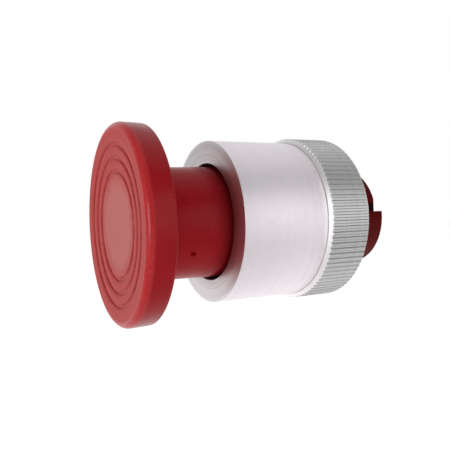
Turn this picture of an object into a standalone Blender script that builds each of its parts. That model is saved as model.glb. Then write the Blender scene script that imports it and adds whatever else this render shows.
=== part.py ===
"""Emergency stop button: a push-to-latch, pull-to-release mushroom head on a long metal collar.

Metres, +Z up. The button's axis is Y and the head faces -Y. The origin is the centre of the plane
where the clamp ring's back face seats on the panel, so the red tube reaches through the panel at +Y.
Every turned piece is drawn as (radius, y) points and spun about the Y axis.
"""
import math

import bmesh
import bpy

GAP = 0.0003                    # clearance left between pieces that touch
TRAVEL = 0.006                  # stroke of the plunger, pulled out to pushed in

HEAD_RADIUS = 0.0200
HEAD_FACE_Y = -0.0498           # plane of the head's raised rim
HEAD_BACK_Y = -0.0443
HEAD_FRONT_ROUND = 0.0013
HEAD_BACK_ROUND = 0.0005
DISH_DEPTH = 0.0010
GROOVE_RADII = (0.0157, 0.0131, 0.01055)
GROOVE_WIDTH = 0.0008
GROOVE_DEPTH = 0.0003
BOSS_RADIUS = 0.0054

NECK_FRONT_RADIUS = 0.01133
NECK_TAPER = 0.0227             # radius gained per metre of length, towards the rear
NECK_BORE = 0.0088
NECK_FRONT_Y = HEAD_BACK_Y + GAP
NECK_WEB = 0.0025
NECK_REAR_Y = -0.0207
PIN_HOLE_RADIUS = 0.00075
PIN_HOLE_DEPTH = 0.0012
PIN_HOLE_Y = -0.0374
PIN_HOLE_ANGLE = math.radians(-31.0)

COLLAR_RADIUS = 0.0169
COLLAR_FRONT_Y = -0.0298
COLLAR_LIP = 0.0014
COLLAR_LIP_BORE = 0.0124
COLLAR_BORE = 0.0139
COLLAR_BACK_Y = -0.0106
SPIGOT_RADIUS = 0.0159          # crest of the thread that the clamp ring runs on
SPIGOT_END_Y = -0.0038
EDGE_BREAK = 0.0002

RING_RADIUS = 0.01785
RING_FRONT_Y = COLLAR_BACK_Y + GAP
RING_BORE = SPIGOT_RADIUS + GAP
RING_FLANGE_Y = SPIGOT_END_Y + 0.0004
RING_FLANGE_BORE = 0.0112
RING_TEETH = 96
TOOTH_DEPTH = 0.00045
RING_BACK_CHAMFER = 0.0012
RING_FRONT_CHAMFER = 0.0005
RECESS_INNER = 0.0124
RECESS_OUTER = 0.0154
RECESS_DEPTH = 0.0022

TUBE_RADIUS = 0.0109
TUBE_BORE = 0.0090
TUBE_END_Y = 0.0090
TUBE_UPPER_END_Y = 0.0072       # the upper half of the tube stops short of the lower half
TUBE_FLANGE_RADIUS = COLLAR_BORE - GAP
TUBE_FLANGE_Y = (-0.0131, -0.0113)
SLOT_Z = (0.00095, 0.00275)
SLOT_Y = 0.0022
SLOT_FLOOR_X = 0.01025           # the slots are cut part way into the tube's wall

SPINDLE_RADIUS = 0.0032
SPINDLE_THREAD_RADIUS = 0.0022
SPINDLE_BORE = 0.0036           # running holes for the spindle
SPINDLE_END_Y = -0.0009
LATCH_Y = -0.0070
LATCH_HALF_WIDTH = 0.0009
LATCH_GROOVE_RADIUS = 0.0026
CLIP_WIRE = 0.00045

SPRING_RADIUS = 0.0060
SPRING_WIRE = 0.00055
SPRING_TURNS = 7
SPRING_STEPS = 12

SEAL_INNER = 0.0122             # inner radius of the pieces that surround the neck
BIG, MID, SMALL = 64, 32, 16    # facets round large, middling and small pieces


def clear_scene():
    for thing in list(bpy.data.objects):
        bpy.data.objects.remove(thing, do_unlink=True)


def finish(name, red, green, blue, roughness, metallic=0.0):
    """A Principled material with one colour."""
    found = bpy.data.materials.get(name)
    if found:
        return found
    made = bpy.data.materials.new(name)
    made.use_nodes = True
    shader = made.node_tree.nodes["Principled BSDF"]
    shader.inputs["Base Color"].default_value = (red, green, blue, 1.0)
    shader.inputs["Roughness"].default_value = roughness
    shader.inputs["Metallic"].default_value = metallic
    made.diffuse_color = (red, green, blue, 1.0)
    return made


def red_plastic():
    return finish("red_plastic", 0.38, 0.012, 0.018, 0.38)


def tube_plastic():
    return finish("tube_plastic", 0.13, 0.006, 0.012, 0.45)


def satin_aluminium():
    return finish("satin_aluminium", 0.82, 0.80, 0.81, 0.38, 1.0)


def knurled_aluminium():
    return finish("knurled_aluminium", 0.66, 0.66, 0.67, 0.42, 1.0)


def bright_steel():
    return finish("bright_steel", 0.60, 0.60, 0.60, 0.25, 1.0)


def spring_steel():
    return finish("spring_steel", 0.45, 0.45, 0.47, 0.30, 1.0)


def brass():
    return finish("brass", 0.75, 0.52, 0.22, 0.30, 1.0)


def black_rubber():
    return finish("black_rubber", 0.02, 0.02, 0.02, 0.75)


def white_plastic():
    return finish("white_plastic", 0.72, 0.71, 0.67, 0.45)


def black_plastic():
    return finish("black_plastic", 0.025, 0.025, 0.028, 0.50)


def add_piece(name, mesh, material, frame):
    mesh.shade_smooth()
    mesh.set_sharp_from_angle(angle=math.radians(30))
    mesh.materials.append(material)
    piece = bpy.data.objects.new(name, mesh)
    piece.parent = frame
    bpy.context.scene.collection.objects.link(piece)
    return piece


def spun_mesh(name, profile, segments, angle=2 * math.pi):
    """Spin a profile of (radius, y) points about Y and close what is left open.

    A profile whose ends lie on the axis is an open line; any other is joined into a loop.
    """
    shape = bmesh.new()
    points = [shape.verts.new((radius, y, 0)) for radius, y in profile]
    on_axis = profile[0][0] == 0 and profile[-1][0] == 0
    pairs = list(zip(points, points[1:]))
    if not on_axis:
        pairs.append((points[-1], points[0]))
    edges = [shape.edges.new(pair) for pair in pairs]
    bmesh.ops.spin(shape, geom=points + edges, cent=(0, 0, 0), axis=(0, 1, 0), angle=angle, steps=segments)
    bmesh.ops.remove_doubles(shape, verts=shape.verts, dist=1e-6)
    open_edges = [edge for edge in shape.edges if edge.is_boundary]
    if open_edges:
        bmesh.ops.holes_fill(shape, edges=open_edges, sides=0)
    bmesh.ops.recalc_face_normals(shape, faces=shape.faces)
    mesh = bpy.data.meshes.new(name)
    shape.to_mesh(mesh)
    shape.free()
    return mesh


def turned(name, profile, segments, material, frame):
    return add_piece(name, spun_mesh(name, profile, segments), material, frame)


def washer(name, inner, outer, front_y, back_y, segments, material, frame, edge=0.0):
    """A plain ring, with its outer edges broken by a small chamfer if edge is given."""
    if edge:
        outside = [(outer - edge, front_y), (outer, front_y + edge), (outer, back_y - edge), (outer - edge, back_y)]
    else:
        outside = [(outer, front_y), (outer, back_y)]
    return turned(name, [(inner, front_y)] + outside + [(inner, back_y)], segments, material, frame)


def split_washer(name, inner, outer, front_y, back_y, opening, turn, segments, material, frame):
    """A flat ring with a gap in it, such as a circlip; opening and turn are in radians."""
    profile = [(inner, front_y), (outer, front_y), (outer, back_y), (inner, back_y)]
    piece = add_piece(name, spun_mesh(name, profile, segments, 2 * math.pi - opening), material, frame)
    piece.rotation_euler = (0, turn, 0)
    return piece


def arc(centre_radius, centre_y, radius, start, end, steps):
    """Points on a quarter or other arc of a profile; 0 degrees points outwards, 90 towards -Y."""
    points = []
    for step in range(steps + 1):
        angle = math.radians(start + (end - start) * step / steps)
        points.append((centre_radius + radius * math.cos(angle), centre_y - radius * math.sin(angle)))
    return points


def wire(name, points, radius, material, frame, closed=False):
    """Round wire along a list of points."""
    curve = bpy.data.curves.new(name, "CURVE")
    curve.dimensions = "3D"
    curve.bevel_depth = radius
    curve.bevel_resolution = 1
    curve.use_fill_caps = not closed
    line = curve.splines.new("POLY")
    line.points.add(len(points) - 1)
    line.use_cyclic_u = closed
    for spot, point in zip(line.points, points):
        spot.co = (*point, 1)
    curve.materials.append(material)
    piece = bpy.data.objects.new(name, curve)
    piece.parent = frame
    bpy.context.scene.collection.objects.link(piece)
    return piece


def box_cutter(name, low, high, frame):
    shape = bmesh.new()
    bmesh.ops.create_cube(shape, size=1.0)
    size = [end - start for start, end in zip(low, high)]
    middle = [(start + end) / 2 for start, end in zip(low, high)]
    bmesh.ops.scale(shape, vec=size, verts=shape.verts)
    bmesh.ops.translate(shape, vec=middle, verts=shape.verts)
    mesh = bpy.data.meshes.new(name)
    shape.to_mesh(mesh)
    shape.free()
    return hidden_cutter(name, mesh, frame)


def hidden_cutter(name, mesh, frame):
    cutter = bpy.data.objects.new(name, mesh)
    cutter.parent = frame
    cutter.hide_render = True
    cutter.display_type = "WIRE"
    bpy.context.scene.collection.objects.link(cutter)
    return cutter


def cut(piece, cutter):
    modifier = piece.modifiers.new(cutter.name, "BOOLEAN")
    modifier.operation = "DIFFERENCE"
    modifier.object = cutter


def neck_radius(y):
    return NECK_FRONT_RADIUS + NECK_TAPER * (y - NECK_FRONT_Y)


# ---- plunger: everything that the hand pushes in and pulls out ----

def dish_y(radius):
    """Height of the head's hollow face, a shallow paraboloid inside the rim."""
    rim = HEAD_RADIUS - HEAD_FRONT_ROUND
    return HEAD_FACE_Y + DISH_DEPTH * (1 - (radius / rim) ** 2)


def mushroom_head(frame):
    insert_bore = 0.0042
    insert_floor_y = -0.0475
    boss_end_y = NECK_FRONT_Y + NECK_WEB - GAP
    front = [(0, dish_y(0)), (0.0060, dish_y(0.0060))]
    for middle in reversed(GROOVE_RADII):
        inner, outer = middle - GROOVE_WIDTH / 2, middle + GROOVE_WIDTH / 2
        front += [(inner, dish_y(inner)), (middle, dish_y(middle) + GROOVE_DEPTH), (outer, dish_y(outer))]
    rim = arc(HEAD_RADIUS - HEAD_FRONT_ROUND, HEAD_FACE_Y + HEAD_FRONT_ROUND, HEAD_FRONT_ROUND, 90, 0, 4)
    back = arc(HEAD_RADIUS - HEAD_BACK_ROUND, HEAD_BACK_Y - HEAD_BACK_ROUND, HEAD_BACK_ROUND, 0, -90, 2)
    boss = [
        (BOSS_RADIUS, HEAD_BACK_Y),
        (BOSS_RADIUS, boss_end_y),
        (insert_bore, boss_end_y),
        (insert_bore, insert_floor_y),
        (0, insert_floor_y),
    ]
    return turned("mushroom_head", front + rim + back + boss, BIG, red_plastic(), frame)


def head_insert(frame):
    return washer("head_insert", 0.0025, 0.0039, -0.0472, -0.0420, SMALL, brass(), frame, 0.0003)


def neck_sleeve(frame):
    hole = BOSS_RADIUS + GAP
    web_y = NECK_FRONT_Y + NECK_WEB
    profile = [
        (hole, NECK_FRONT_Y),
        (neck_radius(NECK_FRONT_Y), NECK_FRONT_Y),
        (neck_radius(NECK_REAR_Y) - EDGE_BREAK, NECK_REAR_Y - EDGE_BREAK),
        (neck_radius(NECK_REAR_Y) - 2 * EDGE_BREAK, NECK_REAR_Y),
        (NECK_BORE, NECK_REAR_Y),
        (NECK_BORE, web_y),
        (hole, web_y),
    ]
    sleeve = turned("neck_sleeve", profile, BIG, red_plastic(), frame)
    shape = bmesh.new()
    bmesh.ops.create_cone(
        shape, cap_ends=True, segments=12, radius1=PIN_HOLE_RADIUS, radius2=PIN_HOLE_RADIUS,
        depth=2 * PIN_HOLE_DEPTH,
    )
    mesh = bpy.data.meshes.new("pin_hole_cutter")
    shape.to_mesh(mesh)
    shape.free()
    cutter = hidden_cutter("pin_hole_cutter", mesh, frame)
    reach = neck_radius(PIN_HOLE_Y)
    cutter.location = (reach * math.cos(PIN_HOLE_ANGLE), PIN_HOLE_Y, reach * math.sin(PIN_HOLE_ANGLE))
    cutter.rotation_euler = (0, math.pi / 2 - PIN_HOLE_ANGLE, 0)
    cut(sleeve, cutter)
    return sleeve


def spindle(frame):
    """Steel rod: a thread for the head, two latch grooves one stroke apart, a clip groove, a tapped end."""
    front_y = -0.0468
    shoulder_y = -0.0399
    clip_groove = (-0.0030, -0.0017)
    tapped = 0.0017
    tapped_y = -0.0049
    profile = [
        (0, front_y),
        (SPINDLE_THREAD_RADIUS - EDGE_BREAK, front_y),
        (SPINDLE_THREAD_RADIUS, front_y + EDGE_BREAK),
        (SPINDLE_THREAD_RADIUS, shoulder_y),
        (SPINDLE_RADIUS, shoulder_y),
    ]
    for middle in (LATCH_Y - TRAVEL, LATCH_Y):
        profile += [
            (SPINDLE_RADIUS, middle - LATCH_HALF_WIDTH),
            (LATCH_GROOVE_RADIUS, middle - LATCH_HALF_WIDTH / 2),
            (LATCH_GROOVE_RADIUS, middle + LATCH_HALF_WIDTH / 2),
            (SPINDLE_RADIUS, middle + LATCH_HALF_WIDTH),
        ]
    profile += [
        (SPINDLE_RADIUS, clip_groove[0]),
        (LATCH_GROOVE_RADIUS, clip_groove[0]),
        (LATCH_GROOVE_RADIUS, clip_groove[1]),
        (SPINDLE_RADIUS, clip_groove[1]),
        (SPINDLE_RADIUS, SPINDLE_END_Y),
        (tapped, SPINDLE_END_Y),
        (tapped, tapped_y),
        (0, tapped_y),
    ]
    return turned("spindle", profile, SMALL, bright_steel(), frame)


def spring_cup(frame):
    """Pressed steel cup that centres the spring and clamps the neck against the head."""
    profile = [
        (0.0025, -0.0412),
        (0.0084, -0.0412),
        (0.0084, -0.0388),
        (0.0078, -0.0388),
        (0.0078, -0.0402),
        (0.0025, -0.0402),
    ]
    return turned("spring_cup", profile, MID, bright_steel(), frame)


def stop_ring(frame):
    """E-ring behind the latch block: it stops the plunger from being pulled out."""
    return split_washer(
        "stop_ring", 0.0029, 0.0052, -0.0027, -0.0020, math.radians(80), 0.0, 14, spring_steel(), frame)


def pusher(frame):
    """Plastic foot that meets the contact blocks behind the panel."""
    profile = [
        (0.0017, -0.0006),
        (0.0082, -0.0006),
        (0.0086, -0.0002),
        (0.0086, 0.0046),
        (0.0068, 0.0046),
        (0.0068, 0.0020),
        (0.0017, 0.0020),
    ]
    return turned("pusher", profile, MID, black_plastic(), frame)


def pusher_washer(frame):
    return split_washer(
        "pusher_washer", 0.0017, 0.0029, 0.0023, 0.0029, math.radians(12), 0.0, 15, spring_steel(), frame)


def pusher_screw(frame):
    """Pan-head screw with a straight slot; its shank is in the spindle's tapped end."""
    shank, head = 0.0014, 0.0028
    under_head_y, top_y = 0.0032, 0.0048
    profile = [
        (0, -0.0045),
        (shank - EDGE_BREAK, -0.0045),
        (shank, -0.0043),
        (shank, under_head_y),
        (head, under_head_y),
        (head, top_y - 0.0006),
        (head - 0.0006, top_y),
        (0, top_y),
    ]
    screw = turned("pusher_screw", profile, SMALL, bright_steel(), frame)
    half_slot = 0.00035
    cut(screw, box_cutter(
        "screw_slot_cutter", (-0.004, top_y - 0.0007, -half_slot), (0.004, top_y + 0.001, half_slot), frame))
    return screw


# ---- housing: what stays still in the panel ----

def front_collar(frame):
    lip_y = COLLAR_FRONT_Y + COLLAR_LIP
    profile = [
        (COLLAR_LIP_BORE, COLLAR_FRONT_Y),
        (COLLAR_RADIUS - EDGE_BREAK, COLLAR_FRONT_Y),
        (COLLAR_RADIUS, COLLAR_FRONT_Y + EDGE_BREAK),
        (COLLAR_RADIUS, COLLAR_BACK_Y - EDGE_BREAK),
        (COLLAR_RADIUS - EDGE_BREAK, COLLAR_BACK_Y),
        (SPIGOT_RADIUS, COLLAR_BACK_Y),
        (SPIGOT_RADIUS, SPIGOT_END_Y - 0.0004),
        (SPIGOT_RADIUS - 0.0004, SPIGOT_END_Y),
        (COLLAR_BORE, SPIGOT_END_Y),
        (COLLAR_BORE, lip_y),
        (COLLAR_LIP_BORE, lip_y),
    ]
    return turned("front_collar", profile, BIG, satin_aluminium(), frame)


def wiper_seal(frame):
    """Rubber ring behind the collar's lip, with a thin edge that wipes the neck."""
    outer = COLLAR_BORE - GAP
    profile = [
        (SEAL_INNER, -0.0281),
        (SEAL_INNER + 0.0005, -0.0281),
        (SEAL_INNER + 0.0005, -0.0272),
        (outer, -0.0272),
        (outer, -0.0261),
        (SEAL_INNER, -0.0261),
    ]
    return turned("wiper_seal", profile, MID, black_rubber(), frame)


def seal_washer(frame):
    return washer("seal_washer", SEAL_INNER, COLLAR_BORE - GAP, -0.0258, -0.0250, MID, bright_steel(), frame)


def guide_bush(frame):
    return washer("guide_bush", SEAL_INNER, COLLAR_BORE - GAP, -0.0247, -0.0147, MID, white_plastic(), frame)


def buffer_washer(frame):
    """Rubber ring that the neck's rear end lands on when the button is hit."""
    return washer("buffer_washer", 0.0093, COLLAR_BORE - GAP, -0.0144, -0.0134, MID, black_rubber(), frame)


def body_tube(frame):
    """Red tube through the panel, with its two bayonet slots and the shorter upper half."""
    profile = [
        (SPINDLE_BORE, TUBE_FLANGE_Y[0]),
        (TUBE_FLANGE_RADIUS, TUBE_FLANGE_Y[0]),
        (TUBE_FLANGE_RADIUS, TUBE_FLANGE_Y[1]),
        (TUBE_RADIUS, TUBE_FLANGE_Y[1]),
        (TUBE_RADIUS, TUBE_END_Y),
        (TUBE_BORE, TUBE_END_Y),
        (TUBE_BORE, TUBE_FLANGE_Y[1]),
        (SPINDLE_BORE, TUBE_FLANGE_Y[1]),
    ]
    tube = turned("body_tube", profile, BIG, tube_plastic(), frame)
    beyond = 0.013
    cut(tube, box_cutter(
        "upper_half_cutter", (-beyond, TUBE_UPPER_END_Y, SLOT_Z[0]), (beyond, 0.010, beyond), frame))
    cut(tube, box_cutter(
        "right_slot_cutter", (SLOT_FLOOR_X, SLOT_Y, SLOT_Z[0]), (beyond, 0.011, SLOT_Z[1]), frame))
    cut(tube, box_cutter(
        "left_slot_cutter", (-beyond, SLOT_Y, SLOT_Z[0]), (-SLOT_FLOOR_X, 0.011, SLOT_Z[1]), frame))
    return tube


def retaining_nut(frame):
    """Threaded ring that holds the tube's flange in the collar, with two spanner slots."""
    nut = washer("retaining_nut", 0.0112, COLLAR_BORE - GAP, -0.0110, -0.0075, MID, brass(), frame, 0.0003)
    half_slot = 0.0010
    cut(nut, box_cutter(
        "spanner_slot_cutter", (-half_slot, -0.0089, -0.015), (half_slot, -0.007, 0.015), frame))
    return nut


def tube_o_ring(frame):
    return turned("tube_o_ring", arc(0.0123, -0.0057, 0.0010, 0, 315, 7), MID, black_rubber(), frame)


def latch_block(frame):
    """Plastic block inside the tube that guides the spindle and carries the latch clip in a groove."""
    front_y, back_y = -0.0110, -0.0030
    outer = TUBE_BORE - GAP
    groove = 0.0052
    profile = [
        (SPINDLE_BORE, front_y),
        (outer, front_y),
        (outer, back_y),
        (SPINDLE_BORE, back_y),
        (SPINDLE_BORE, LATCH_Y + LATCH_HALF_WIDTH),
        (groove, LATCH_Y + LATCH_HALF_WIDTH),
        (groove, LATCH_Y - LATCH_HALF_WIDTH),
        (SPINDLE_BORE, LATCH_Y - LATCH_HALF_WIDTH),
    ]
    return turned("latch_block", profile, MID, white_plastic(), frame)


def latch_clip(frame):
    """Open ring of spring wire that snaps into the spindle's grooves, pulled out or pushed in."""
    radius = LATCH_GROOVE_RADIUS + GAP + CLIP_WIRE + 0.0001
    opening = math.radians(70)
    steps = 16
    points = []
    for step in range(steps + 1):
        angle = opening / 2 + (2 * math.pi - opening) * step / steps
        points.append((radius * math.sin(angle), LATCH_Y, radius * math.cos(angle)))
    return wire("latch_clip", points, CLIP_WIRE, spring_steel(), frame)


def inner_circlip(frame):
    """Circlip that keeps the latch block in the tube."""
    return split_washer(
        "inner_circlip", 0.0072, TUBE_BORE - GAP, -0.0027, -0.0019, math.radians(40), math.radians(70), 28,
        spring_steel(), frame)


def return_spring(frame):
    """Compression spring in the hollow neck, from the spring cup to the tube's flange."""
    front_y = -0.0402 + GAP + SPRING_WIRE
    back_y = TUBE_FLANGE_Y[0] - GAP - SPRING_WIRE
    steps = SPRING_TURNS * SPRING_STEPS
    points = []
    for step in range(steps + 1):
        share = step / steps
        eased = share - 0.8 * math.sin(4 * math.pi * share) / (4 * math.pi)
        angle = 2 * math.pi * SPRING_TURNS * share
        height = front_y + (back_y - front_y) * eased
        points.append((SPRING_RADIUS * math.cos(angle), height, SPRING_RADIUS * math.sin(angle)))
    return wire("return_spring", points, SPRING_WIRE, spring_steel(), frame)


# ---- clamp ring and what it carries against the panel ----

def tooth_loop(shape, tip, tip_y, root, root_y):
    """A loop of knurl corners, tips and roots by turns; round when tip and root are equal."""
    loop = []
    for step in range(2 * RING_TEETH):
        angle = math.pi * step / RING_TEETH
        radius, y = (tip, tip_y) if step % 2 == 0 else (root, root_y)
        loop.append(shape.verts.new((radius * math.cos(angle), y, -radius * math.sin(angle))))
    edges = [shape.edges.new((a, b)) for a, b in zip(loop, loop[1:] + loop[:1])]
    return loop, edges


def clamp_ring(frame):
    """Straight-knurled nut on the collar's spigot: turned by hand to press on the panel."""
    root = RING_RADIUS - TOOTH_DEPTH
    front_face = RING_RADIUS - RING_FRONT_CHAMFER
    back_face = RING_RADIUS - RING_BACK_CHAMFER
    shape = bmesh.new()
    loops = [
        tooth_loop(shape, front_face, RING_FRONT_Y, front_face, RING_FRONT_Y),
        tooth_loop(shape, RING_RADIUS, RING_FRONT_Y + RING_FRONT_CHAMFER,
                   root, RING_FRONT_Y + RING_FRONT_CHAMFER - TOOTH_DEPTH),
        tooth_loop(shape, RING_RADIUS, -RING_BACK_CHAMFER, root, TOOTH_DEPTH - RING_BACK_CHAMFER),
        tooth_loop(shape, back_face, 0, back_face, 0),
    ]
    for (_, near), (_, far) in zip(loops, loops[1:]):
        bmesh.ops.bridge_loops(shape, edges=near + far)
    shape.faces.new(loops[0][0])
    shape.faces.new(loops[-1][0])
    bmesh.ops.recalc_face_normals(shape, faces=shape.faces)
    mesh = bpy.data.meshes.new("clamp_ring")
    shape.to_mesh(mesh)
    shape.free()
    ring = add_piece("clamp_ring", mesh, knurled_aluminium(), frame)
    beyond = 0.001
    bore = [
        (0, RING_FRONT_Y - beyond),
        (RING_BORE, RING_FRONT_Y - beyond),
        (RING_BORE, RING_FLANGE_Y),
        (RING_FLANGE_BORE, RING_FLANGE_Y),
        (RING_FLANGE_BORE, beyond),
        (0, beyond),
    ]
    cut(ring, hidden_cutter("ring_bore_cutter", spun_mesh("ring_bore_cutter", bore, BIG), frame))
    recess = [
        (RECESS_INNER, -RECESS_DEPTH),
        (RECESS_OUTER, -RECESS_DEPTH),
        (RECESS_OUTER, beyond),
        (RECESS_INNER, beyond),
    ]
    cut(ring, hidden_cutter("ring_recess_cutter", spun_mesh("ring_recess_cutter", recess, MID), frame))
    return ring


def slip_washer(frame):
    """Steel ring that lets the clamp ring turn without dragging the gasket round."""
    return washer(
        "slip_washer", RECESS_INNER + GAP, RECESS_OUTER - GAP, GAP - RECESS_DEPTH, 0.0009 - RECESS_DEPTH, MID,
        bright_steel(), frame)


def panel_gasket(frame):
    return washer(
        "panel_gasket", RECESS_INNER + GAP, RECESS_OUTER - GAP, 0.0012 - RECESS_DEPTH, -0.00005, MID,
        black_rubber(), frame)


def body_frame(name, parent=None):
    """An empty on the button's axis; the pieces of one moving body hang on it."""
    empty = bpy.data.objects.new(name, None)
    empty.parent = parent
    bpy.context.scene.collection.objects.link(empty)
    return empty


def build():
    clear_scene()
    housing = body_frame("housing_frame")
    plunger = body_frame("plunger_frame", housing)
    carrier = body_frame("ring_carrier_frame", housing)
    ring = body_frame("clamp_ring_frame", carrier)
    for make in (
        front_collar, wiper_seal, seal_washer, guide_bush, buffer_washer, body_tube, retaining_nut,
        tube_o_ring, latch_block, latch_clip, inner_circlip, return_spring,
    ):
        make(housing)
    for make in (
        mushroom_head, head_insert, neck_sleeve, spindle, spring_cup, stop_ring, pusher, pusher_washer,
        pusher_screw,
    ):
        make(plunger)
    slip_washer(carrier)
    panel_gasket(carrier)
    clamp_ring(ring)


build()
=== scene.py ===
import math

import bmesh
import bpy
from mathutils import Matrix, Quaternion, Vector


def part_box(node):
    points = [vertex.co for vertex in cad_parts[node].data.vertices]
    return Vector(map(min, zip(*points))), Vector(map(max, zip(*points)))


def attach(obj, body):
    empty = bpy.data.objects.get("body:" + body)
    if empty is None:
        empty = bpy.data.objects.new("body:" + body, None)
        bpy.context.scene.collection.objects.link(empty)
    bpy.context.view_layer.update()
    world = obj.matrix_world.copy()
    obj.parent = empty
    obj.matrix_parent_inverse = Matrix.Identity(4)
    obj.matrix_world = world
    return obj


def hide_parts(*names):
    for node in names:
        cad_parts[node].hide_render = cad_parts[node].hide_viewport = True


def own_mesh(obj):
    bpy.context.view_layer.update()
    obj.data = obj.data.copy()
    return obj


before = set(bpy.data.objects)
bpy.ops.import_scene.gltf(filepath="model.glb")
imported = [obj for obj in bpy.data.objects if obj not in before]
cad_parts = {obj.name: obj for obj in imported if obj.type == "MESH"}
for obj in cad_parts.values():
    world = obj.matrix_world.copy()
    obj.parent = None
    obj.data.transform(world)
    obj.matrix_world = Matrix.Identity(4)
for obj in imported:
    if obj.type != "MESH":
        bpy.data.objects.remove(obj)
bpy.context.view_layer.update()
MM = 0.001


# ---- Front collar -------------------------------------------------------------------------------
# Aluminium sleeve, turned from bar and left with the lathe's fine rings under a satin rub. Its flat
# lip surrounds the neck, and the threaded spigot at its rear carries the clamp ring.

def turn(name, profile, facets):
    """A turned piece: a ring is added at the first (radius, y) point and extruded through the others.

    A profile that starts and ends on the axis is closed there; any other is joined into a ring.
    """
    solid = profile[0][0] == 0
    path = profile[1:-1] if solid else profile + profile[:1]
    radius, y = path[0]
    bpy.ops.object.select_all(action="DESELECT")
    bpy.ops.mesh.primitive_circle_add(
        vertices=facets, radius=radius, location=(0, y, 0), rotation=(math.pi / 2, 0, 0))
    piece = bpy.context.object
    piece.name = name
    bpy.ops.object.transform_apply(location=True, rotation=True, scale=True)
    bpy.ops.object.mode_set(mode="EDIT")
    bpy.ops.mesh.select_all(action="SELECT")
    for (radius, y), (next_radius, next_y) in zip(path, path[1:]):
        bpy.ops.mesh.extrude_region_move(TRANSFORM_OT_translate={"value": (0, next_y - y, 0)})
        grow = next_radius / radius
        bpy.ops.transform.resize(value=(grow, 1, grow), center_override=(0, next_y, 0))
    if solid:
        close_on_axis(path[-1][1], profile[-1][1])
        select_ring(piece, path[0])
        close_on_axis(path[0][1], profile[0][1])
    bpy.ops.mesh.select_all(action="SELECT")
    bpy.ops.mesh.remove_doubles(threshold=1e-7)
    bpy.ops.mesh.normals_make_consistent(inside=False)
    bpy.ops.object.mode_set(mode="OBJECT")
    return piece


def close_on_axis(ring_y, centre_y):
    """Draws the selected ring in to one point on the axis."""
    bpy.ops.mesh.extrude_region_move(TRANSFORM_OT_translate={"value": (0, centre_y - ring_y, 0)})
    bpy.ops.mesh.merge(type="CENTER")


def select_ring(piece, spot, near=1e-6):
    """Selects the vertices that lie at one (radius, y) spot of the profile."""
    bpy.ops.mesh.select_mode(type="VERT")
    bpy.ops.mesh.select_all(action="DESELECT")
    shape = bmesh.from_edit_mesh(piece.data)
    for vertex in shape.verts:
        x, y, z = vertex.co
        vertex.select = abs(math.hypot(x, z) - spot[0]) < near and abs(y - spot[1]) < near
    shape.select_flush_mode()
    bmesh.update_edit_mesh(piece.data)


def apply_modifier(piece, kind, **settings):
    """Adds a modifier with these settings and applies it."""
    bpy.ops.object.select_all(action="DESELECT")
    bpy.context.view_layer.objects.active = piece
    piece.select_set(True)
    bpy.ops.object.modifier_add(type=kind)
    modifier = piece.modifiers[-1]
    for setting, value in settings.items():
        setattr(modifier, setting, value)
    bpy.ops.object.modifier_apply(modifier=modifier.name)


def break_edges(piece, width, segments=3, angle=35):
    """Rounds every edge sharper than the angle, as a tool or a mould leaves it, and shades the piece."""
    apply_modifier(
        piece, "BEVEL", width=width, segments=segments, limit_method="ANGLE",
        angle_limit=math.radians(angle), use_clamp_overlap=True, harden_normals=False)
    bpy.ops.object.shade_smooth_by_angle(angle=math.radians(angle))


def join_shape(piece, other, operation):
    """Unites another shape with the piece or cuts it away, and removes the other shape."""
    apply_modifier(piece, "BOOLEAN", operation=operation, object=other, solver="EXACT")
    bpy.data.objects.remove(other)
    merge_slivers()


def merge_slivers(near=0.012 * MM):
    """Merges vertices of the active piece that a cut has left almost on top of each other."""
    bpy.ops.object.mode_set(mode="EDIT")
    bpy.ops.mesh.select_mode(type="VERT")
    bpy.ops.mesh.select_all(action="SELECT")
    bpy.ops.mesh.remove_doubles(threshold=near)
    bpy.ops.mesh.dissolve_degenerate(threshold=near / 10)
    bpy.ops.mesh.normals_make_consistent(inside=False)
    bpy.ops.object.mode_set(mode="OBJECT")


def helical_ridge(name, core, crest, pitch, turns, start_y):
    """A screw thread's ridge round the Y axis: a flat-topped section swept by the Screw modifier."""
    bpy.ops.object.select_all(action="DESELECT")
    bpy.ops.mesh.primitive_plane_add(size=1, location=((core + crest) / 2, start_y, 0))
    ridge = bpy.context.object
    ridge.name = name
    ridge.scale = (crest - core, pitch * 0.86, 1)
    bpy.ops.object.transform_apply(location=True, rotation=True, scale=True)
    bpy.ops.object.mode_set(mode="EDIT")
    select_where(ridge, lambda spot: spot.x > (core + crest) / 2)
    bpy.ops.transform.resize(value=(1, 0.2, 1), center_override=(crest, start_y, 0))
    bpy.ops.mesh.select_all(action="SELECT")
    bpy.ops.mesh.delete(type="ONLY_FACE")
    bpy.ops.object.mode_set(mode="OBJECT")
    apply_modifier(
        ridge, "SCREW", axis="Y", angle=2 * math.pi, screw_offset=pitch, iterations=turns, steps=96,
        render_steps=96, use_merge_vertices=False)
    bpy.ops.object.mode_set(mode="EDIT")
    bpy.ops.mesh.select_mode(type="EDGE")
    bpy.ops.mesh.select_all(action="DESELECT")
    bpy.ops.mesh.select_non_manifold()
    bpy.ops.mesh.fill_holes(sides=0)
    bpy.ops.mesh.select_all(action="SELECT")
    bpy.ops.mesh.normals_make_consistent(inside=False)
    bpy.ops.object.mode_set(mode="OBJECT")
    return ridge


def select_where(piece, wanted, mode="VERT"):
    """Selects the vertices, or the faces or edges by their middle, whose place passes the test."""
    bpy.ops.mesh.select_mode(type=mode)
    bpy.ops.mesh.select_all(action="DESELECT")
    shape = bmesh.from_edit_mesh(piece.data)
    if mode == "VERT":
        for vertex in shape.verts:
            vertex.select = wanted(vertex.co)
    elif mode == "EDGE":
        for edge in shape.edges:
            edge.select = wanted((edge.verts[0].co + edge.verts[1].co) / 2)
    else:
        for face in shape.faces:
            face.select = wanted(face.calc_center_median())
    shape.select_flush_mode()
    bmesh.update_edit_mesh(piece.data)


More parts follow.
